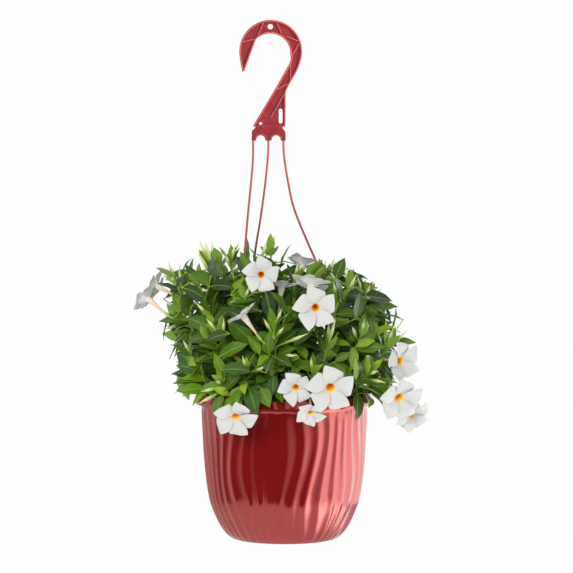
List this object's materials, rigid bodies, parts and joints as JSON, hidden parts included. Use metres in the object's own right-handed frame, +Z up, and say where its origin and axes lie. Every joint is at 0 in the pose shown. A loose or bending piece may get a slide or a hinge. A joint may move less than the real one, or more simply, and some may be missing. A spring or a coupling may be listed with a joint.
{
  "type": "potted mandevilla",
  "caption": "White-flowered mandevilla in a round fluted hanging pot, with a moulded plastic hook hanger of three strands clipped into the rim.",
  "frame": {"origin": "the highest point of the hook's inner curve, where the rail or nail carries it", "axes": "+Z up the hanger, +X to the right across the hook plate, with the hook's open mouth on the left, -Y towards the viewer"},
  "size_m": [0.4209, 0.3553, 0.7494],
  "materials": {
    "pot_red": "gloss",
    "hanger_red": "satin",
    "potting_mix": "matte",
    "leaf": "satin",
    "petal": "satin"
  },
  "bodies": {
    "root": {"pot": "pot_red", "hanger": "hanger_red", "soil": "potting_mix", "leafy_stem_01": "leaf", "leafy_stem_02": "leaf", "leafy_stem_03": "leaf", "leafy_stem_04": "leaf", "leafy_stem_05": "leaf", "leafy_stem_06": "leaf", "leafy_stem_07": "leaf", "leafy_stem_08": "leaf", "leafy_stem_09": "leaf", "leafy_stem_10": "leaf", "leafy_stem_11": "leaf", "leafy_stem_12": "leaf", "leafy_stem_13": "leaf", "leafy_stem_14": "leaf", "leafy_stem_15": "leaf", "leafy_stem_16": "leaf", "leafy_stem_17": "leaf", "leafy_stem_18": "leaf", "leafy_stem_19": "leaf", "leafy_stem_20": "leaf", "leafy_stem_21": "leaf", "leafy_stem_22": "leaf", "leafy_stem_23": "leaf", "leafy_stem_24": "leaf", "leafy_stem_25": "leaf", "leafy_stem_26": "leaf", "leafy_stem_27": "leaf", "leafy_stem_28": "leaf", "leafy_stem_29": "leaf", "leafy_stem_30": "leaf", "leafy_stem_31": "leaf", "leafy_stem_32": "leaf", "bloom_01": "petal", "bloom_02": "petal", "bloom_03": "petal", "bloom_04": "petal", "bloom_05": "petal", "bloom_06": "petal", "bloom_07": "petal", "bloom_08": "petal", "bloom_09": "petal", "bloom_10": "petal", "bloom_11": "petal", "bloom_12": "petal", "bloom_13": "petal", "bloom_14": "petal", "bloom_15": "petal", "bloom_16": "petal", "bloom_17": "petal", "bloom_18": "petal", "bloom_19": "petal", "bloom_20": "petal"}
  },
  "joints": []
}
